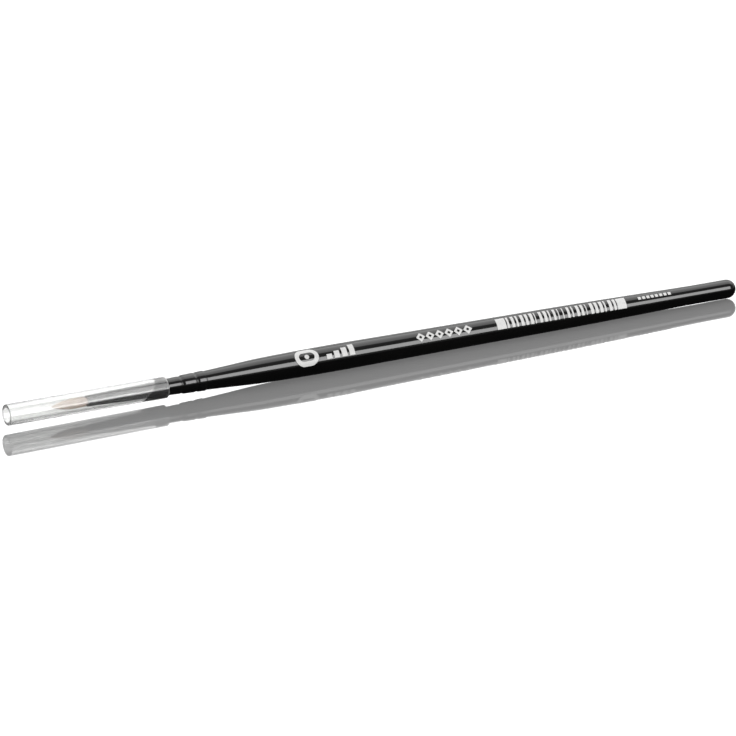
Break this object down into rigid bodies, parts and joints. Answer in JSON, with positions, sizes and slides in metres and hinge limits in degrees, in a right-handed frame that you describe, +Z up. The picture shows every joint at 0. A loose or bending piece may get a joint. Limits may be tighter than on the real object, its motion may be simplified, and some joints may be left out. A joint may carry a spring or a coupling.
{
  "type": "fine round paint brush with protective tube",
  "caption": "Fine round hobby brush with a black lacquered wooden handle, a crimped black ferrule, a pointed tan hair tuft and a clear slide-off protective tube.",
  "frame": {"origin": "under the middle of the whole length, on the surface that the brush lies on, below the brush's axis", "axes": "+X along the brush from the open end of the protective tube to the butt of the handle; +Z up; the printing faces -Y and up"},
  "size_m": [0.202, 0.0068, 0.0067],
  "materials": {
    "wood": "turned birch, unpainted",
    "black_lacquer": "high gloss lacquer",
    "black_metal": "gloss black on drawn metal",
    "adhesive": "clear set glue",
    "resin": "hard amber resin",
    "thread": "waxed cotton thread",
    "hair": "fine natural hair",
    "clear_plastic": "clear soft plastic, slightly milky",
    "white_ink": "printed ink, satin"
  },
  "bodies": {
    "brush": {"handle_core": "wood", "handle_lacquer": "black_lacquer", "ferrule": "black_metal", "ferrule_adhesive": "adhesive", "resin_plug": "resin", "binding_thread": "thread", "hair_root": "hair", "printed_emblem": "white_ink", "printed_size_bars": "white_ink", "printed_lozenges": "white_ink", "printed_stripes": "white_ink", "printed_squares": "white_ink"},
    "tube": {"protective_tube": "clear_plastic"},
    "tuft": {"hair_tuft": "hair"}
  },
  "joints": [
    {"name": "tube_slide", "type": "slide", "parent": "brush", "child": "tube", "axis": [-1, 0, 0], "range_m": [0, 0.045]},
    {"name": "tuft_bend", "type": "hinge", "parent": "brush", "child": "tuft", "pos_m": [-0.0792, 0, 0.00336], "axis": [0, 1, 0], "range_deg": [-5, 5], "stiffness_Nm_per_rad": 0.0003}
  ]
}
